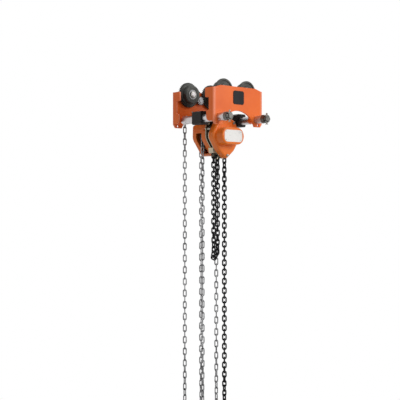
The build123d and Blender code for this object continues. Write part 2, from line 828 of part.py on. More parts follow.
def draw_disc_gear(x, facing):
    """Large gear and small pinion in one piece; facing is the direction of the drive shaft."""
    with BuildSketch(side(hoist_y - large_back, x, hoist_z)) as large:
        turn = facing + pi / large_teeth
        add(gear_outline(large_teeth, hoist_module, -hoist_shift, turn, hoist_backlash))
        make_face()
    extrude(large.sketch, amount=large_front - large_back)
    with BuildSketch(side(hoist_y - load_gear_back - 0.5, x, hoist_z)) as small:
        add(gear_outline(small_teeth, hoist_module, hoist_shift, facing, hoist_backlash))
        make_face()
    extrude(small.sketch, amount=large_back - load_gear_back)
    with BuildSketch(side(hoist_y - frame_half_gap - 1)) as journal:
        with Locations((x, hoist_z)):
            Circle(disc_journal)
    extrude(journal.sketch, amount=64 - frame_half_gap - 1)


with BuildPart() as disc_gear_left:
    draw_disc_gear(-disc_x, 0.0)
with BuildPart() as disc_gear_right:
    draw_disc_gear(disc_x, pi)

ratchet_back, ratchet_front = 35.0, 41.0
disc_thickness = 2.6
hub_back = 26.0
hoist_wheel_y = 59.5
hub_sleeve = 12.0
hoist_seat = hoist_y + hoist_wheel_y + hub_half
with BuildPart() as drive_shaft:
    with BuildSketch(axle_plane(0, hoist_z, 1)):
        with BuildLine():
            Polyline(
                (0, hoist_y - 64), (disc_journal, hoist_y - 64), (disc_journal, hoist_y - 57),
                (4.5, hoist_y - 57), (4.5, hoist_y - 43), (drive_radius, hoist_y - 43),
                (drive_radius, hoist_y + hub_back), (22, hoist_y + hub_back), (22, hoist_y + 32),
                (hub_sleeve, hoist_y + 32), (hub_sleeve, hoist_y + 45), (drive_radius, hoist_y + 45),
                (drive_radius, hoist_seat - 1), (6, hoist_seat),
                (6, hoist_seat + 12), (0, hoist_seat + 12), close=True,
            )
        make_face()
    revolve(axis=cross_axis(0, hoist_z))
    with BuildSketch(side(hoist_y - 43, 0, hoist_z)):
        add(gear_outline(small_teeth, hoist_module, hoist_shift, 0.0, hoist_backlash))
        make_face()
    extrude(amount=14)
with BuildPart() as friction_discs:
    for y in (hoist_y + 32 + disc_thickness, hoist_y + 44):
        with BuildSketch(side(y)):
            with Locations((0, hoist_z)):
                Circle(24)
                Circle(hub_sleeve, mode=Mode.SUBTRACT)
        extrude(amount=disc_thickness)
ratchet_teeth, ratchet_tip, ratchet_root = 12, 30.0, 26.5
with BuildPart() as ratchet_disc:
    with BuildSketch(side(hoist_y + ratchet_front, 0, hoist_z)):
        with BuildLine():
            corners = []
            for tooth in range(ratchet_teeth):
                low = radians(45 + 360 * tooth / ratchet_teeth)
                high = low + radians(360 / ratchet_teeth) * 0.97
                corners += [(-ratchet_root * cos(low), ratchet_root * sin(low)),
                            (-ratchet_tip * cos(high), ratchet_tip * sin(high))]
            Polyline(*corners, close=True)
        make_face()
        Circle(hub_sleeve + clearance, mode=Mode.SUBTRACT)
    extrude(amount=ratchet_front - ratchet_back)
with BuildPart() as pawl_pin:
    with BuildSketch(side(hoist_y + 45)):
        with Locations(pawl_at):
            Circle(4)
    extrude(amount=45 - frame_half_gap)
    with BuildSketch(side(hoist_y + 45)):
        with Locations(pawl_at):
            Circle(6.5)
    extrude(amount=2)
pawl_angle = radians(180 - 46.2)
pawl_tip = ((ratchet_root + 0.8) * cos(pawl_angle), hoist_z + (ratchet_root + 0.8) * sin(pawl_angle))
with BuildPart() as pawl:
    with BuildSketch(side(hoist_y + ratchet_front - 0.2)):
        with Locations(pawl_at):
            Circle(6.5)
        with BuildLine():
            Polyline(
                (pawl_at[0] - 6.2, pawl_at[1] + 2),
                (pawl_tip[0] - 4.6, pawl_tip[1] + 3.4),
                pawl_tip,
                (pawl_tip[0] + 1.3, pawl_tip[1] + 3.9),
                (pawl_at[0] + 4, pawl_at[1] - 5),
                close=True,
            )
        make_face()
        with Locations(pawl_at):
            Circle(4 + running_fit, mode=Mode.SUBTRACT)
    extrude(amount=ratchet_front - ratchet_back - 0.4)

hoist_wheel = ChainWheel(hoist_wheel_pockets, hand_pitch, hand_wire, hand_inside)
with BuildPart() as hoist_hand_wheel:
    with BuildSketch(axle_plane(0, hoist_z, 1)):
        add(pocket_profile(hoist_wheel, hoist_y + hoist_wheel_y, 44, 11.5, 18, hub_half, drive_radius, 6))
        make_face()
    revolve(axis=cross_axis(0, hoist_z))
    cut_pockets(hoist_wheel, 0, hoist_y + hoist_wheel_y, hoist_z)
    with BuildSketch(side(hoist_y + hoist_wheel_y - hub_half)):
        with Locations((0, hoist_z)):
            Circle(18)
            Circle(hub_sleeve, mode=Mode.SUBTRACT)
    extrude(amount=hoist_wheel_y - hub_half - 44)
with BuildPart() as hoist_wheel_nut:
    with BuildSketch(side(hoist_seat + 9)):
        with Locations((0, hoist_z)):
            RegularPolygon(11, 6)
            Circle(6, mode=Mode.SUBTRACT)
    extrude(amount=9)

# Gear cover with its drum, screws and plain plate
cover_wall = 3.5
pear_face = 48.0
drum_face = 86.0
drum_length, drum_height = 120.0, 68.0
with BuildPart() as gear_cover:
    with BuildSketch(side(hoist_y - frame_face)):
        add(pear_outline(0))
    extrude(amount=pear_face - frame_face)
    fillet(gear_cover.faces().sort_by(Axis.Y)[0].edges(), 8)
    with BuildSketch(side(hoist_y - pear_face + 6)):
        with Locations((0, hoist_z)):
            SlotOverall(drum_length + 4, drum_height + 4)
    extrude(amount=drum_face - pear_face + 6, taper=3)
    fillet(gear_cover.faces().sort_by(Axis.Y)[0].edges(), 6)
    with BuildSketch(side(hoist_y - frame_face)):
        add(pear_outline(cover_wall + 0.5))
    extrude(amount=pear_face - frame_face - cover_wall, mode=Mode.SUBTRACT)
    with BuildSketch(side(hoist_y - frame_face)):
        with Locations((0, hoist_z)):
            SlotOverall(drum_length - 8.5, drum_height - 8.5)
    extrude(amount=drum_face - frame_face - cover_wall, mode=Mode.SUBTRACT)
    with BuildSketch(side(hoist_y - 59)):
        with Locations((0, hoist_z), (disc_x, hoist_z), (-disc_x, hoist_z)):
            Circle(8)
    extrude(amount=drum_face - 59 - 1.5)
    with BuildSketch(side(hoist_y - 59)):
        with Locations((0, hoist_z), (disc_x, hoist_z), (-disc_x, hoist_z)):
            Circle(disc_journal + running_fit)
    extrude(amount=7, mode=Mode.SUBTRACT)
    with BuildSketch(side(hoist_y - frame_face)):
        with Locations(*cover_screws_at):
            Circle(7)
    extrude(amount=pear_face - frame_face - 1)
    with BuildSketch(side(hoist_y - frame_face)):
        with Locations(*cover_screws_at):
            Circle(3.2)
    extrude(amount=pear_face - frame_face + 4, mode=Mode.SUBTRACT)
with BuildPart() as gear_cover_screws:
    with BuildSketch(side(hoist_y - pear_face)):
        with Locations(*cover_screws_at):
            Circle(5.2)
    extrude(amount=5)
    with BuildSketch(side(hoist_y - frame_half_gap - 1)):
        with Locations(*cover_screws_at):
            Circle(3)
    extrude(amount=pear_face - frame_half_gap - 1)
    with BuildSketch(side(hoist_y - pear_face - 2)):
        with Locations(*cover_screws_at):
            RegularPolygon(2.9, 6)
    extrude(amount=4, mode=Mode.SUBTRACT)
with BuildPart() as rating_plate:
    with BuildSketch(side(hoist_y - drum_face)):
        with Locations((0, hoist_z)):
            RectangleRounded(96, 48, 15)
    extrude(amount=0.8)

# Hand-wheel cover with a chain slot in each flank
cover_near, cover_far = frame_face, 103.0
cover_skin = 3.0
slot_near, slot_far = 42.5, 76.5
slot_top, slot_bottom = -125.0, -207.0
ledge_top = -110.0
with BuildPart() as hand_wheel_cover:
    with BuildSketch(side(hoist_y + cover_far)):
        add(cover_outline(0))
    extrude(amount=cover_far - cover_near)
    fillet(hand_wheel_cover.faces().sort_by(Axis.Y)[-1].edges(), 9)
    with BuildSketch(side(hoist_y + cover_far - 10)):
        for flank in (1, -1):
            with Locations((flank * 58, ledge_top - 3)):
                Rectangle(10, 6)
    extrude(amount=cover_far - cover_near - 14)
    with BuildSketch(side(hoist_y + cover_far - cover_skin)):
        add(cover_outline(cover_skin))
    extrude(amount=cover_far - cover_near - cover_skin, mode=Mode.SUBTRACT)
    with BuildSketch(side(hoist_y + slot_far)):
        for flank in (1, -1):
            with Locations((flank * 43, (slot_top + slot_bottom) / 2)):
                Rectangle(66, slot_top - slot_bottom)
    extrude(amount=slot_far - slot_near, mode=Mode.SUBTRACT)
    with BuildSketch(side(hoist_y + cover_far)):
        with Locations(*cover_studs_at):
            Circle(4.2)
    extrude(amount=10, mode=Mode.SUBTRACT)
with BuildPart() as cover_studs:
    with BuildSketch(side(hoist_y + cover_far + 9)):
        with Locations(*cover_studs_at):
            Circle(4)
    extrude(amount=cover_far + 9 - frame_half_gap - 0.5)
    with BuildSketch(side(hoist_y + cover_far + 6.5)):
        with Locations(*cover_studs_at):
            RegularPolygon(7.5, 6)
    extrude(amount=6.5)

# Chain guide between the frame plates
guide_top, guide_bottom = -184.0, -208.0
strand_right, strand_left = sheave.flat_radius, -sheave.upright_radius
with BuildPart() as chain_guide:
    with BuildSketch(side(hoist_y + frame_half_gap - 0.2)) as block:
        with BuildLine():
            Polyline((-47, guide_top), (45, guide_top), (42, guide_bottom), (-44, guide_bottom), close=True)
        make_face()
        fillet(block.vertices(), 4)
        with Locations(stays[2]):
            Circle(6.5, mode=Mode.SUBTRACT)
    extrude(amount=2 * frame_half_gap - 0.4)
    with BuildSketch(Plane.XY.offset(guide_bottom - 1)):
        with Locations((strand_right, hoist_y), (strand_left, hoist_y)):
            RectangleRounded(22.4, 22.4, 4)
    extrude(amount=40, mode=Mode.SUBTRACT)

# Load chain: seated links and slack loop, hoisted length, lower length on the hook
load_link = make_link(load_pitch, load_wire, load_inside)
wrap = sheave.pivots(0, hoist_z)
right_pivots = [wrap[0]]
for k in range(3 + lift_links + lower_links):
    step = load_pitch - load_wire if k % 2 == 0 else load_pitch + load_wire
    right_pivots.append((right_pivots[-1][0], right_pivots[-1][1] - step))
slack_x, tail_x = wrap[-1][0], tail_pin_at[0]
left_pivots = [wrap[-1]]
for k in range(24):
    step = load_pitch + load_wire if k % 2 == 0 else load_pitch - load_wire
    left_pivots.append((slack_x, left_pivots[-1][1] - step))
tail_pivots = [tail_pin_at]
for k in range(21):
    step = load_pitch - load_wire if k % 2 == 0 else load_pitch + load_wire
    tail_pivots.append((tail_x, tail_pivots[-1][1] - step))
left_low, right_low = left_pivots[-1], tail_pivots[-1]
low_mid = ((left_low[0] + right_low[0]) / 2, (left_low[1] + right_low[1]) / 2)
span = hypot(right_low[0] - left_low[0], right_low[1] - left_low[1])
bottom_half = (load_pitch - load_wire) / 2
along = ((right_low[0] - left_low[0]) / span, (right_low[1] - left_low[1]) / span)
sag = sqrt((load_pitch + load_wire) ** 2 - (span / 2 - bottom_half) ** 2)
bottom_left, bottom_right = (
    (
        low_mid[0] + sag * along[1] + end * bottom_half * along[0],
        low_mid[1] - sag * along[0] + end * bottom_half * along[1],
    )
    for end in (-1, 1)
)
slack_places = (
    link_places(wrap, hoist_y, True)
    + link_places(right_pivots[:4], hoist_y, False)
    + link_places(left_pivots, hoist_y, True, strand_twist(len(left_pivots) - 1, 6))
    + link_places(tail_pivots, hoist_y, False, strand_twist(len(tail_pivots) - 1, 6))
)
slack_places += link_places([left_low, bottom_left, bottom_right, right_low], hoist_y, True)
hoisted = right_pivots[3 : 4 + lift_links]
lowered = right_pivots[3 + lift_links :]
load_chain_slack = Compound(children=[load_link.moved(place) for place in slack_places])
strand = strand_twist(lift_links + lower_links)
upper_places = link_places(hoisted, hoist_y, True, strand[:lift_links])
lower_places = link_places(lowered, hoist_y, True, strand[lift_links:])
load_chain_upper = Compound(children=[load_link.moved(place) for place in upper_places])
load_chain_lower = Compound(children=[load_link.moved(place) for place in lower_places])

# Hand chains: closed loops over their wheels
hand_link = make_link(hand_pitch, hand_wire, hand_inside)


def hand_loop(wheel, y, z, hanging):
    seated = wheel.pivots(0, z)
    loop = hanging_pivots(wheel, seated[0], seated[-1], hanging, "short")
    places = link_places(seated, y, True) + link_places(loop, y, False, twist_ramp(hanging, 8))
    return Compound(children=[hand_link.moved(place) for place in places])


hoist_hand_chain = hand_loop(hoist_wheel, hoist_y + hoist_wheel_y, hoist_z, 96)
trolley_hand_chain = hand_loop(trolley_wheel, hand_wheel_y, pinion_z, 111)

# Bottom block: yoke, pin, swivel hook and latch
hook_x = strand_right
pin_z = lowered[-1][1]
yoke_top, window_top, window_bottom, yoke_bottom = pin_z + 8, pin_z - 12.5, pin_z - 36, pin_z - 46
shank_radius = 8.0
with BuildPart() as hook_yoke:
    with BuildSketch(side(hoist_y + 13)):
        with Locations((hook_x, (yoke_top + yoke_bottom) / 2)):
            RectangleRounded(46, yoke_top - yoke_bottom, 10)
        with Locations((hook_x, (window_top + window_bottom) / 2)):
            RectangleRounded(29, window_top - window_bottom, 4, mode=Mode.SUBTRACT)
        with Locations((hook_x, pin_z)):
            Circle(3.0, mode=Mode.SUBTRACT)
    extrude(amount=26)
    with BuildSketch(Plane.XY.offset(window_top)):
        with Locations((hook_x, hoist_y)):
            Rectangle(22.4, 7.6)
    extrude(amount=40, mode=Mode.SUBTRACT)
    with BuildSketch(Plane.XY.offset(yoke_bottom - 1)):
        with Locations((hook_x, hoist_y)):
            Circle(shank_radius + running_fit)
    extrude(amount=20, mode=Mode.SUBTRACT)
with BuildPart() as yoke_pin:
    with BuildSketch(side(hoist_y + 15)):
        with Locations((hook_x, pin_z)):
            Circle(3.0)
    extrude(amount=30)
with BuildPart() as hook_nut:
    with BuildSketch(Plane.XY.offset(window_bottom + 0.3)):
        with Locations((hook_x, hoist_y)):
            RegularPolygon(12, 6)
            Circle(shank_radius, mode=Mode.SUBTRACT)
    extrude(amount=11)

bowl_z = yoke_bottom - 56
bowl_radius = 19.0
latch_at = (hook_x + 1.5, bowl_z + 37.0)
latch_end = (hook_x + 19.0, bowl_z + 14.0)
hook_half = 9.0
latch_pin_radius = 2.0
with BuildPart() as hook:
    with BuildSketch(side(hoist_y + hook_half, hook_x, bowl_z)) as hook_shape:
        with BuildLine():
            neck = yoke_bottom - bowl_z - clearance
            Polyline((-16.45, 9.5), (3, 31), (11, 44), (11, neck), (-11, neck), (-11, 44))
            ThreePointArc((-11, 44), (-27, 27), (-36, 5))
            ThreePointArc((-36, 5), (0, -42), (36, 5))
            Polyline((36, 5), (31, 22), (23, 19), (18.35, 4.92))
            ThreePointArc((18.35, 4.92), (0, -bowl_radius), (-16.45, 9.5))
        make_face()
        fillet(hook_shape.vertices().sort_by_distance((27, 21))[:2], 3)
        fillet(hook_shape.vertices().sort_by_distance((11, 44))[:1], 8)
        fillet(hook_shape.vertices().sort_by_distance((3, 31))[:1], 8)
    extrude(amount=2 * hook_half)
    rim_edges = hook.edges().filter_by(
        lambda e: abs(abs(e.center().Y - hoist_y) - hook_half) < 0.1 and e.length > 45
    )
    fillet(rim_edges, 2.5)
    with BuildSketch(Plane.XY.offset(yoke_bottom - 4)):
        with Locations((hook_x, hoist_y)):
            Circle(shank_radius)
    extrude(amount=4 + 10 + 14)
    with BuildSketch(side(hoist_y + hook_half)):
        with Locations(latch_at):
            Circle(latch_pin_radius)
    extrude(amount=2 * hook_half, mode=Mode.SUBTRACT)
with BuildPart() as latch_pin:
    with BuildSketch(side(hoist_y + 13)):
        with Locations(latch_at):
            Circle(latch_pin_radius)
    extrude(amount=26)
latch_dx, latch_dz = latch_end[0] - latch_at[0], latch_end[1] - latch_at[1]
latch_length = hypot(latch_dx, latch_dz)
latch_plane = Plane(
    origin=(latch_at[0], hoist_y + hook_half + 2.6, latch_at[1]),
    x_dir=(latch_dx, 0, latch_dz),
    z_dir=(0, -1, 0),
)
with BuildPart() as hook_latch:
    with BuildSketch(latch_plane, latch_plane.offset(2 * hook_half + 3)):
        Circle(5)
        with Locations((9, 0)):
            Rectangle(12, 5)
        Circle(latch_pin_radius + running_fit, mode=Mode.SUBTRACT)
    extrude(amount=2.2)
    with BuildSketch(latch_plane):
        with Locations(((latch_length + 10) / 2, 0)):
            Rectangle(latch_length - 10, 2.4)
    extrude(amount=2 * hook_half + 5.2)

pieces = {
    "near_plate": near_plate.part,
    "far_plate": far_plate.part,
    "plate_lugs": plate_lugs.part,
    "bar_bosses": bar_bosses.part,
    "plate_badge": plate_badge.part,
    "near_wheel_left": near_wheel_left.part,
    "near_wheel_right": near_wheel_right.part,
    "drive_wheel_left": drive_wheel_left.part,
    "drive_wheel_right": drive_wheel_right.part,
    "wheel_axles": wheel_axles.part,
    "axle_circlips": axle_circlips.part,
    "wheel_bearings": wheel_bearings.part,
    "trolley_pinion_shaft": trolley_pinion_shaft.part,
    "pinion_bush": pinion_bush.part,
    "pinion_housing": pinion_housing.part,
    "trolley_plate_bolts": trolley_plate_bolts.part,
    "trolley_hand_wheel": trolley_hand_wheel.part,
    "trolley_wheel_nut": trolley_wheel_nut.part,
    "trolley_chain_guide": trolley_chain_guide.part,
    "trolley_hand_chain": trolley_hand_chain,
    "tie_rods": tie_rods.part,
    "inner_sleeves": inner_sleeves.part,
    "spacer_washers": spacer_washers.part,
    "outer_sleeves": outer_sleeves.part,
    "castle_nuts": castle_nuts.part,
    "split_pins": split_pins.part,
    "suspension_hanger": suspension_hanger.part,
    "hanger_bolts": hanger_bolts.part,
    "gear_side_plate": gear_side_plate.part,
    "wheel_side_plate": wheel_side_plate.part,
    "stay_pins": stay_pins.part,
    "sheave_bearings": sheave_bearings.part,
    "load_sheave": load_sheave.part,
    "load_gear": load_gear.part,
    "disc_gear_left": disc_gear_left.part,
    "disc_gear_right": disc_gear_right.part,
    "drive_shaft": drive_shaft.part,
    "gear_cover": gear_cover.part,
    "gear_cover_screws": gear_cover_screws.part,
    "rating_plate": rating_plate.part,
    "friction_discs": friction_discs.part,
    "ratchet_disc": ratchet_disc.part,
    "pawl": pawl.part,
    "pawl_pin": pawl_pin.part,
    "hoist_hand_wheel": hoist_hand_wheel.part,
    "hoist_wheel_nut": hoist_wheel_nut.part,
    "hand_wheel_cover": hand_wheel_cover.part,
    "cover_studs": cover_studs.part,
    "chain_guide": chain_guide.part,
    "tail_pin": tail_pin.part,
    "load_chain_slack": load_chain_slack,
    "load_chain_upper": load_chain_upper,
    "load_chain_lower": load_chain_lower,
    "hoist_hand_chain": hoist_hand_chain,
    "hook_yoke": hook_yoke.part,
    "yoke_pin": yoke_pin.part,
    "hook": hook.part,
    "hook_nut": hook_nut.part,
    "hook_latch": hook_latch.part,
    "latch_pin": latch_pin.part,
}
for name, piece in pieces.items():
    piece.label = name
    export_step(piece, f"parts/{name}.step")
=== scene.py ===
# %% [markdown]
# # Geared hoist trolley
#
# A geared hoist trolley hangs under an I-beam: four flanged wheels between two folded
# side plates, tie bars with spacers, and a hand chain hoist built in below. The solids
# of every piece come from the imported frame. This lesson gives them paint, steel and
# iron, adds the weld beads and rivets that finish the real thing, and lights it.

# %% Load the frame
import json
import math

import bmesh
import bpy
from mathutils import Matrix, Vector

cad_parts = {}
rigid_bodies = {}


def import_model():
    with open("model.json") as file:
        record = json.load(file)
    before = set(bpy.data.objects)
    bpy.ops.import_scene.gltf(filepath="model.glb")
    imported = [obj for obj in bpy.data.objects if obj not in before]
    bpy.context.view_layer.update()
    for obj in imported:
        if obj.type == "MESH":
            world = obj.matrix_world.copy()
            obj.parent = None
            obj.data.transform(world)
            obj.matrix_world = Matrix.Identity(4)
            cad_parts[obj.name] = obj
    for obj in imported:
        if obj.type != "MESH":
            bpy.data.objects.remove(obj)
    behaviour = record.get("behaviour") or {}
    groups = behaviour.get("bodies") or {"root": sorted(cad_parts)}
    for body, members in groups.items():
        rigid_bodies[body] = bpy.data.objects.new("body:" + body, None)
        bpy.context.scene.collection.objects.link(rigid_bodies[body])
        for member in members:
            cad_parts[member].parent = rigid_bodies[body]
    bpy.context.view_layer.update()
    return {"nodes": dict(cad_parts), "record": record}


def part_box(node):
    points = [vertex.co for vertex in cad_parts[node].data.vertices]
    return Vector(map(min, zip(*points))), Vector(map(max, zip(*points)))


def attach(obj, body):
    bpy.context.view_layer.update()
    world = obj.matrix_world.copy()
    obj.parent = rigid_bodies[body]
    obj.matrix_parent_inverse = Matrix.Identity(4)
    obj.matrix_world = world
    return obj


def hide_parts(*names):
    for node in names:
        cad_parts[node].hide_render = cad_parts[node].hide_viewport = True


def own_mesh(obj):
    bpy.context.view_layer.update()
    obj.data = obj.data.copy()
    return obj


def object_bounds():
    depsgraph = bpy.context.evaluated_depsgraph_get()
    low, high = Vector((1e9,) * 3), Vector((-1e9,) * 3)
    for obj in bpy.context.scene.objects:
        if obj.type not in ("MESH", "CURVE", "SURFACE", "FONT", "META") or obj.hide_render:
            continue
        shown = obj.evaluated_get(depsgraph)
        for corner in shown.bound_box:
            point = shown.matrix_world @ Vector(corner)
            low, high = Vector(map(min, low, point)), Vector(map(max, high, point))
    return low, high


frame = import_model()
print("nodes loaded:", len(frame["nodes"]))

# %% [markdown]
# ## Shader maths as plain expressions
#
# A finish is a small sum over textures: a base, a stain, a scuff. Wiring Math nodes by
# hand hides that sum. One class wraps a socket and overloads the operators, so that
# `0.3 + stain * 0.1` adds the nodes it needs. Colours go through a Mix node instead,
# because a Math node would turn them grey.


# %% Sockets with operators
class Wire:
    """A node's output socket that can be added, subtracted and multiplied."""

    def __init__(self, finish, socket):
        self.finish, self.socket = finish, socket

    def _math(self, operation, first, second):
        return self.finish.node("ShaderNodeMath", {"operation": operation}, {0: first, 1: second})

    def __add__(self, other):
        return self._math("ADD", self, other)

    __radd__ = __add__

    def __sub__(self, other):
        return self._math("SUBTRACT", self, other)

    def __rsub__(self, other):
        return self._math("SUBTRACT", other, self)

    def __mul__(self, other):
        return self._math("MULTIPLY", self, other)

    __rmul__ = __mul__


# %% A material and its one node maker
class Finish:
    """A procedural material that reads Object coordinates."""

    def __init__(self, name):
        self.material = bpy.data.materials.new(name)
        self.material.use_nodes = True
        self.tree = self.material.node_tree
        self.shader = self.tree.nodes["Principled BSDF"]
        self.coords = self.node("ShaderNodeTexCoord", {}, {}, "Object")

    def node(self, kind, settings, inputs, output=0):
        made = self.tree.nodes.new(kind)
        for key, value in settings.items():
            setattr(made, key, value)
        for key, value in inputs.items():
            if isinstance(value, Wire):
                self.tree.links.new(value.socket, made.inputs[key])
            else:
                made.inputs[key].default_value = value
        return Wire(self, made.outputs[output])

    def noise(self, scale, detail=3.0, stretch=(1, 1, 1), roughness=0.55):
        place = self.node("ShaderNodeMapping", {}, {"Vector": self.coords, "Scale": stretch})
        settings = {"noise_dimensions": "3D"}
        inputs = {"Vector": place, "Scale": scale, "Detail": detail, "Roughness": roughness}
        return self.node("ShaderNodeTexNoise", settings, inputs)

    def between(self, value, low, high, start=0.0, end=1.0):
        settings = {"interpolation_type": "SMOOTHSTEP"}
        inputs = {"Value": value, "From Min": low, "From Max": high, "To Min": start, "To Max": end}
        return self.node("ShaderNodeMapRange", settings, inputs)

    def distance_from_middle(self):
        along = self.node("ShaderNodeSeparateXYZ", {}, {0: self.coords}, "X")
        return self.node("ShaderNodeMath", {"operation": "ABSOLUTE"}, {0: along})

    def blend(self, factor, first, second):
        inputs = {0: factor, 6: self.colour(first), 7: self.colour(second)}
        return self.node("ShaderNodeMix", {"data_type": "RGBA"}, inputs, 2)

    @staticmethod
    def colour(value):
        return value if isinstance(value, Wire) else (*value, 1.0)

    def bump(self, height, strength, distance):
        inputs = {"Height": height, "Strength": strength, "Distance": distance}
        return self.node("ShaderNodeBump", {}, inputs)

    def set(self, **sockets):
        for key, value in sockets.items():
            target = self.shader.inputs[key.replace("_", " ")]
            if isinstance(value, Wire):
                self.tree.links.new(value.socket, target)
            else:
                target.default_value = value
        return self.material


# %% [markdown]
# ## Paint
#
# Hoists are sprayed with a thick glossy enamel. Close up it has a fine orange-peel
# surface, it is never one even tone, and handling leaves faint dull scuffs. A broad
# noise moves the tone, a fine one makes the peel, and a sharp-edged one the scuffs. On
# the bends of the side plates a strip of a paler tone follows them: a painted highlight
# for the light the glossy folds catch. Painted pictures could do the same, but each
# piece would have to be unwrapped for them. Noise on Object coordinates fits every
# piece as it is.


# %% Enamel
# Painted highlight on the plate folds: where its pale strip starts, is full, fades and ends, as distance in X
# from the middle, and its pale tone.
bend_start, bend_full, bend_fade, bend_end = 0.117, 0.128, 0.1325, 0.1348
fold_highlight_tone = (0.90, 0.68, 0.58)


def enamel(name, tone, deep, scuffed, gloss, shine, coat, fold_highlight_strength=0.0):
    paint = Finish(name)
    tone_shift = paint.between(paint.noise(7.0, 3.0), 0.35, 0.7)
    scuff = paint.between(paint.noise(46.0, 6.0, (1, 1, 0.35), 0.65), 0.63, 0.74)
    specks = paint.between(paint.noise(420.0, 2.0), 0.70, 0.78)
    peel = paint.noise(650.0, 1.0)
    body = paint.blend(tone_shift, tone, deep)
    worn = paint.blend(scuff * 0.35, body, scuffed)
    skin = paint.blend(specks * 0.25, worn, deep)
    # Painted highlight: a paler strip of paint along the folded bends of the side plates.
    if fold_highlight_strength:
        reach = paint.distance_from_middle()
        highlight_strip = paint.between(reach, bend_start, bend_full) - paint.between(reach, bend_fade, bend_end)
        skin = paint.blend(highlight_strip * fold_highlight_strength, skin, fold_highlight_tone)
    return paint.set(
        Base_Color=skin,
        Roughness=gloss + tone_shift * 0.06 + scuff * 0.22,
        Specular_IOR_Level=shine,
        Coat_Weight=coat,
        Coat_Roughness=0.12,
        Normal=paint.bump(peel, 0.09, 0.0006),
    )


# %% Mix the enamels
orange_tones = ((0.80, 0.146, 0.018), (0.72, 0.118, 0.014), (0.60, 0.15, 0.04))
cover_tones = ((0.80, 0.185, 0.022), (0.72, 0.150, 0.018), (0.60, 0.18, 0.05))
black_tones = ((0.008, 0.007, 0.007), (0.012, 0.010, 0.010), (0.030, 0.026, 0.024))
orange_enamel = enamel("orange_enamel", *orange_tones, gloss=0.32, shine=0.2, coat=0.08)
# The plate enamel carries the painted fold highlight.
plate_enamel = enamel("plate_enamel", *orange_tones, gloss=0.32, shine=0.2, coat=0.08, fold_highlight_strength=0.16)
cover_enamel = enamel("cover_enamel", *cover_tones, gloss=0.30, shine=0.2, coat=0.10)
black_enamel = enamel("black_enamel", *black_tones, gloss=0.42, shine=0.15, coat=0.04)
print("enamels made, each with", len(orange_enamel.node_tree.nodes), "nodes or more")

# %% [markdown]
# ## Steel
#
# Bars and sleeves are turned, so the tool leaves fine rings across their length. All the
# bars lie along Y, so a noise squeezed along Y gives those rings on every one. Plated
# fasteners and chains have a cloudier surface, with dull patches from handling. On the
# hand chain the dark side of that cloud is made far darker: painted dark reflections,
# mixed with the plating's own cloud. Real grooves would cost far too many faces, so a
# bump carries the grain, and one recipe with other numbers serves bars, gears, sheet,
# nuts and chains.


# %% Turned and plated steel
def steel(name, bright, dull, rough, grain_kind, cloud_scale, metal=1.0, shine=0.5):
    bar = Finish(name)
    grain_scale, grain_stretch, grain_depth = grain_kind
    grain = bar.noise(grain_scale, 3.0, grain_stretch)
    cloud = bar.between(bar.noise(cloud_scale, 4.0), 0.36, 0.68)
    smut = bar.between(bar.noise(cloud_scale * 3.1, 5.0, (1, 1, 1), 0.65), 0.58, 0.76)
    shade = bar.blend(cloud, bright, dull)
    soiled = tuple(0.35 * part for part in dull)
    return bar.set(
        Base_Color=bar.blend(smut * 0.45, shade, soiled),
        Metallic=metal,
        Specular_IOR_Level=shine,
        Roughness=rough + cloud * 0.10 + grain * 0.08 + smut * 0.12,
        Normal=bar.bump(grain, grain_depth, 0.0006),
    )


# %% Mix the steels
turned_rings = (60.0, (1, 30, 1), 0.22)
gear_rings = (120.0, (1, 8, 1), 0.15)
bush_rings = (80.0, (1, 20, 1), 0.15)
rolled_sheet = (90.0, (1, 1, 6), 0.10)
brushed_sheet = (40.0, (20, 1, 1), 0.08)
plated = (240.0, (1, 1, 1), 0.12)
tumbled = (260.0, (1, 1, 1), 0.15)
turned_steel = steel("turned_steel", (0.56, 0.54, 0.55), (0.47, 0.44, 0.44), 0.24, turned_rings, 14.0)
cut_gear_steel = steel("cut_gear_steel", (0.25, 0.25, 0.255), (0.17, 0.17, 0.175), 0.34, gear_rings, 40.0)
bush_bronze = steel("bush_bronze", (0.55, 0.38, 0.16), (0.42, 0.28, 0.12), 0.30, bush_rings, 60.0)
yellow_zinc = steel("yellow_zinc", (0.50, 0.42, 0.28), (0.38, 0.34, 0.27), 0.34, rolled_sheet, 26.0)
zinc_fastener = steel("zinc_fastener", (0.34, 0.33, 0.29), (0.24, 0.23, 0.19), 0.30, plated, 70.0)
black_nut = steel("black_nut", (0.15, 0.145, 0.135), (0.09, 0.087, 0.080), 0.28, plated, 70.0)
# Hand chain: its cloud runs from a bright tone to a very dark one. The dark patches are painted dark
# reflections as well as the plating's own cloud.
zinc_chain = steel("zinc_chain", (0.31, 0.31, 0.315), (0.06, 0.06, 0.063), 0.26, tumbled, 110.0)
black_chain = steel(
    "black_chain", (0.011, 0.011, 0.012), (0.006, 0.006, 0.007), 0.40, tumbled, 90.0, metal=0.0, shine=0.12
)
plain_plate = steel(
    "plain_plate", (0.78, 0.77, 0.745), (0.73, 0.715, 0.69), 0.50, brushed_sheet, 18.0, metal=0.10, shine=0.25
)
print("steels made, each with", len(turned_steel.node_tree.nodes), "nodes")

# %% [markdown]
# ## Cast iron
#
# The track wheels and the pocketed chain wheels are castings, machined only where they
# run. Their skin is grainy and dark, with a grey bloom where it has been wiped. A rough
# noise in the bump makes the sand grain, which is too fine to be modelled. The brake
# lining and the blank badge are flat sheet with a fine fleck, and get a simpler recipe.


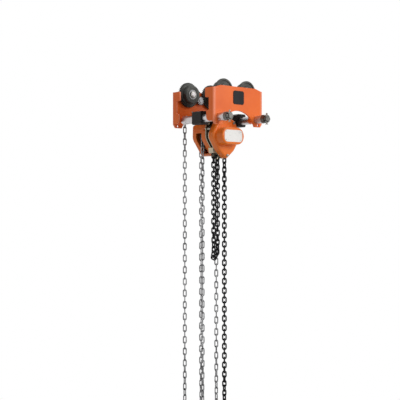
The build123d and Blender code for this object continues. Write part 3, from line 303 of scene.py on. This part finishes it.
# %% Cast iron
def cast_iron(name, skin, bloom):
    iron = Finish(name)
    grit = iron.noise(330.0, 4.0, (1, 1, 1), 0.7)
    wiped = iron.between(iron.noise(24.0, 4.0), 0.42, 0.70)
    pits = iron.between(iron.noise(150.0, 2.0), 0.66, 0.76)
    tone = iron.blend(wiped, skin, bloom)
    return iron.set(
        Base_Color=iron.blend(pits * 0.5, tone, tuple(0.4 * part for part in skin)),
        Metallic=0.55,
        Roughness=0.46 + grit * 0.14 - wiped * 0.08,
        Normal=iron.bump(grit, 0.28, 0.0009),
    )


wheel_iron = cast_iron("wheel_iron", (0.034, 0.035, 0.031), (0.060, 0.062, 0.055))
print("iron made, with", len(wheel_iron.node_tree.nodes), "nodes")


# %% Lining and badge
def pressed_sheet(name, base, fleck, rough, shine):
    sheet = Finish(name)
    weave = sheet.noise(500.0, 3.0)
    patch = sheet.between(sheet.noise(30.0, 3.0), 0.4, 0.7)
    flecks = sheet.between(weave, 0.5, 0.75)
    return sheet.set(
        Base_Color=sheet.blend(flecks * 0.5 + patch * 0.2, base, fleck),
        Roughness=rough + patch * 0.12,
        Specular_IOR_Level=shine,
        Normal=sheet.bump(weave, 0.12, 0.0004),
    )


brake_lining = pressed_sheet("brake_lining", (0.16, 0.10, 0.07), (0.30, 0.22, 0.16), 0.75, 0.3)
badge_black = pressed_sheet("badge_black", (0.008, 0.008, 0.009), (0.020, 0.020, 0.021), 0.46, 0.15)
print("sheets made, each with", len(badge_black.node_tree.nodes), "nodes")

# %% [markdown]
# ## Giving out the finishes
#
# A maker buys paint, plating and bar for a whole batch of parts, and the frame's record
# says which of these slots each node belongs to. One table turns a slot into a finish,
# so no node is forgotten. A second, shorter one holds the nodes that look different from
# the rest of their slot: the bent plates, the two covers, the darker nuts and rods.

# %% Hand each node the finish of its slot
finish_of_slot = {
    "orange_paint": orange_enamel,
    "black_paint": black_enamel,
    "wheel_iron": wheel_iron,
    "bar_steel": turned_steel,
    "gear_steel": cut_gear_steel,
    "fastener_zinc": zinc_fastener,
    "frame_steel": yellow_zinc,
    "load_chain_steel": black_chain,
    "hand_chain_zinc": zinc_chain,
    "bush_bronze": bush_bronze,
    "friction_lining": brake_lining,
    "badge_black": badge_black,
    "plate_aluminium": plain_plate,
}
for row in frame["record"]["subparts"]:
    skin = frame["nodes"][row["node"]].data.materials
    skin.clear()
    skin.append(finish_of_slot[row["material_slot"]])

# %% Nodes with a finish of their own
finish_of_node = {
    "near_plate": plate_enamel,
    "far_plate": plate_enamel,
    "plate_lugs": plate_enamel,
    "gear_cover": cover_enamel,
    "hand_wheel_cover": cover_enamel,
    "castle_nuts": black_nut,
    "tie_rods": black_nut,
    "trolley_pinion_shaft": cut_gear_steel,
}
for node, finish in finish_of_node.items():
    frame["nodes"][node].data.materials[0] = finish
print("of these, with a finish of their own:", len(finish_of_node))

# %% [markdown]
# ## Smooth curved faces
#
# The frame's meshes are triangles. Turned and cast faces should shade round while the
# cut edges stay crisp, so faces are smooth wherever they meet at a shallow angle. That
# is a shading flag and leaves every point where it is.


# %% Shade by angle
def shade_by_angle(piece, degrees=32.0):
    view = bpy.context.view_layer
    for other in view.objects.selected:
        other.select_set(False)
    piece.select_set(True)
    view.objects.active = piece
    bpy.ops.object.shade_smooth_by_angle(angle=math.radians(degrees))
    piece.select_set(False)


for node in frame["nodes"].values():
    shade_by_angle(node)
print("nodes shaded:", len(frame["nodes"]))

# %% [markdown]
# ## The hoisted length of chain
#
# When the hook rises, links run over the lift wheel and the length above the hook gets
# shorter. Moving every link along the chain would take an animation of its own, which a
# posed model can't hold. So a copy of that length, with its points merged, is hung on
# the frame in place of the original.


# %% Copy a node's mesh
def copy_of_node(node, name):
    source = frame["nodes"][node]
    mesh = source.data.copy()
    mesh.name = name
    piece = bpy.data.objects.new(name, mesh)
    bpy.context.scene.collection.objects.link(piece)
    work = bmesh.new()
    work.from_mesh(mesh)
    bmesh.ops.remove_doubles(work, verts=work.verts, dist=1e-6)
    work.to_mesh(mesh)
    work.free()
    shade_by_angle(piece)
    return piece


hoisted_links = copy_of_node("load_chain_upper", "hoisted_links")
print("hoisted links:", len(hoisted_links.data.vertices), "points after merging")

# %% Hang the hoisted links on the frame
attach(hoisted_links, "frame")
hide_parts("load_chain_upper")
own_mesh(hoisted_links)

# %% [markdown]
# ## Weld beads
#
# The boss tubes that carry the tie bars are welded to the inside of the side plates. A
# weld bead is a ring with small overlapping ripples. A torus would be too even, so a
# small round section is spun about the bar, with half of it buried in the corner, and
# each step is pushed in and out a little, as the welder's hand does.


# %% Make a piece from a bmesh
def place_piece(work, name, finish, body):
    bmesh.ops.recalc_face_normals(work, faces=work.faces)
    mesh = bpy.data.meshes.new(name)
    work.to_mesh(mesh)
    work.free()
    mesh.materials.append(finish)
    piece = bpy.data.objects.new(name, mesh)
    bpy.context.scene.collection.objects.link(piece)
    shade_by_angle(piece, 50.0)
    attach(piece, body)
    return piece


# %% One bead
def add_bead(work, centre, radius, size, steps):
    before = set(work.verts)
    turn = Matrix.Translation(centre + Vector((radius, 0, 0)))
    section = bmesh.ops.create_circle(work, cap_ends=False, radius=size, segments=10, matrix=turn)
    ring_edges = list({edge for vert in section["verts"] for edge in vert.link_edges})
    bmesh.ops.spin(
        work, geom=section["verts"] + ring_edges, cent=centre, axis=(0, 1, 0), dvec=(0, 0, 0),
        angle=2 * math.pi, steps=steps, use_merge=True, use_duplicate=False,
    )
    for vert in set(work.verts) - before:
        spoke = vert.co - centre
        angle = math.atan2(spoke.z, spoke.x)
        core = Vector((math.cos(angle) * radius, 0, math.sin(angle) * radius))
        ripple = 1.0 + 0.16 * math.sin(angle * 34) + 0.07 * math.sin(angle * 13 + 1.0)
        vert.co = centre + core + (spoke - core) * ripple


# %% Beads round the boss tubes
bead_work = bmesh.new()
bar_x, bar_z = 0.101, -0.072
plate_inner = 0.119
bead_radius, bead_size, bead_steps = 0.0155, 0.0026, 136
for x in (bar_x, -bar_x):
    for y in (plate_inner, -plate_inner):
        add_bead(bead_work, Vector((x, y, bar_z)), bead_radius, bead_size, bead_steps)
beads = place_piece(bead_work, "boss_weld_beads", orange_enamel, "frame")
print("weld beads:", len(beads.data.polygons), "faces")

# %% [markdown]
# ## Drive rivets
#
# The plain plate on the gear cover is held by small round-headed drive rivets. Such a
# head could be spun from a curve, but a sphere is quicker: it is flattened to a dome, cut
# in half, closed at the cut and stood on the plate's face at each corner.


# %% One rivet head
def add_rivet(work, place, radius, rise):
    flat = Matrix.Diagonal((radius, rise, radius, 1.0))
    stand = Matrix.Translation(place) @ flat
    dome = bmesh.ops.create_uvsphere(work, u_segments=20, v_segments=12, radius=1.0, matrix=stand)
    geometry = dome["verts"] + list({e for v in dome["verts"] for e in v.link_edges})
    geometry += list({f for v in dome["verts"] for f in v.link_faces})
    cut = bmesh.ops.bisect_plane(work, geom=geometry, plane_co=place, plane_no=(0, 1, 0), clear_outer=True)
    rim = [part for part in cut["geom_cut"] if isinstance(part, bmesh.types.BMEdge)]
    bmesh.ops.holes_fill(work, edges=rim, sides=0)


# %% Rivet heads on the plate
rivet_work = bmesh.new()
rivet_inset, rivet_radius, rivet_rise = 0.0075, 0.0021, 0.0011
low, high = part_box("rating_plate")
for x in (low.x + rivet_inset, high.x - rivet_inset):
    for z in (low.z + rivet_inset, high.z - rivet_inset):
        add_rivet(rivet_work, Vector((x, low.y, z)), rivet_radius, rivet_rise)
rivets = place_piece(rivet_work, "plate_rivets", zinc_fastener, "frame")
print("rivet heads:", len(rivets.data.polygons), "faces")

# %% [markdown]
# ## Floor
#
# The trolley hangs free, but views from above need a ground that takes its shadow. A
# plane would show its corners. A round pale floor well below the hook doesn't, and it
# lies out of the camera's sight in the main view.

# %% Floor
floor_drop, floor_radius = 0.12, 1.0
floor_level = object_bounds()[0][2] - floor_drop
floor_place = Matrix.Translation((0, 0, floor_level))
floor_work = bmesh.new()
bmesh.ops.create_circle(floor_work, cap_ends=True, radius=floor_radius, segments=96, matrix=floor_place)
floor_mesh = bpy.data.meshes.new("studio_floor")
floor_work.to_mesh(floor_mesh)
floor_work.free()
floor = bpy.data.objects.new("studio_floor", floor_mesh)
bpy.context.scene.collection.objects.link(floor)
print("floor at", round(floor_level, 3), "m")

# %% Finish of the floor
floor_finish = Finish("floor_finish")
floor_tone = floor_finish.between(floor_finish.noise(3.0, 2.0), 0.3, 0.7)
floor_mesh.materials.append(
    floor_finish.set(
        Base_Color=floor_finish.blend(floor_tone, (0.86, 0.86, 0.85), (0.83, 0.83, 0.82)),
        Roughness=0.7 + floor_tone * 0.1,
    )
)

# %% [markdown]
# ## Light
#
# Product pictures are lit through large soft boxes. A single lamp would leave the folded
# ends black, and a bright sky alone would flatten them. So a broad lamp stands at the
# front right, a weak one at the left keeps the ends readable, and one hangs overhead.


# %% Lamps
def soft_lamp(name, place, target, width, height, watts):
    data = bpy.data.lights.new(name, "AREA")
    data.shape = "RECTANGLE"
    data.size, data.size_y, data.energy = width, height, watts
    lamp = bpy.data.objects.new(name, data)
    lamp.location = place
    lamp.rotation_euler = (Vector(target) - Vector(place)).to_track_quat("-Z", "Y").to_euler()
    bpy.context.scene.collection.objects.link(lamp)
    print(name, watts, "W")


soft_lamp("front_lamp", (1.1, -2.6, 0.9), (0, 0, -0.2), 1.6, 1.6, 52.0)
soft_lamp("left_lamp", (-2.6, -0.9, 0.3), (0, 0, -0.3), 1.2, 2.0, 4.0)
soft_lamp("top_lamp", (0.1, -0.2, 2.4), (0, 0, 0), 1.8, 1.8, 26.0)

# %% [markdown]
# ## White background
#
# The camera should see plain white, and so should reflections in metal. White at full
# strength from all sides would wash the paint out, though. The Light Path node tells the
# kinds of ray apart: those three see white, and the light on surfaces is softer.

# %% World
world = bpy.data.worlds.new("white_studio")
world.use_nodes = True
bpy.context.scene.world = world
sky = world.node_tree
path = sky.nodes.new("ShaderNodeLightPath")
sees_white = path.outputs["Is Camera Ray"]
for ray in ("Is Glossy Ray", "Is Transmission Ray"):
    either = sky.nodes.new("ShaderNodeMath")
    either.operation = "MAXIMUM"
    sky.links.new(sees_white, either.inputs[0])
    sky.links.new(path.outputs[ray], either.inputs[1])
    sees_white = either.outputs[0]
light_on_object, white = 0.45, 1.0
level = sky.nodes.new("ShaderNodeMapRange")
level.inputs["To Min"].default_value = light_on_object
level.inputs["To Max"].default_value = white
sky.links.new(sees_white, level.inputs["Value"])
background = sky.nodes["Background"]
background.inputs["Color"].default_value = (1, 1, 1, 1)
sky.links.new(level.outputs[0], background.inputs["Strength"])
print("world:", white, "to the camera,", light_on_object, "on the object")

# %% [markdown]
# ## Camera
#
# The trolley is seen from the front left, from about the height of its hanging chains.
# The camera could be placed by eye, but a heading, a distance and a sideways step from
# the line of the load are easier to correct one at a time. The lens is given in pixels
# of the picture, and a small shift frames the object without tilting the camera.

# %% Camera
picture_width, lens_pixels, horizon_row = 400.0, 800.0, 192.0
heading = math.radians(-40.4)
distance, sideways = 3.270, 0.0785
ahead = Vector((-math.sin(heading), math.cos(heading), 0))
across = Vector((math.cos(heading), math.sin(heading), 0))
load_line = Vector((0, -0.012, -0.365))
camera_data = bpy.data.cameras.new("photo_camera")
camera_data.sensor_width = 36.0
camera_data.lens = camera_data.sensor_width * lens_pixels / picture_width
camera_data.shift_y = (horizon_row - picture_width / 2) / picture_width
camera = bpy.data.objects.new("photo_camera", camera_data)
camera.location = load_line - ahead * distance - across * sideways
camera.rotation_euler = (math.radians(90), 0, heading)
bpy.context.scene.collection.objects.link(camera)
bpy.context.scene.camera = camera
bpy.context.scene.view_settings.view_transform = "Standard"
print("lens:", round(camera_data.lens, 1), "mm")
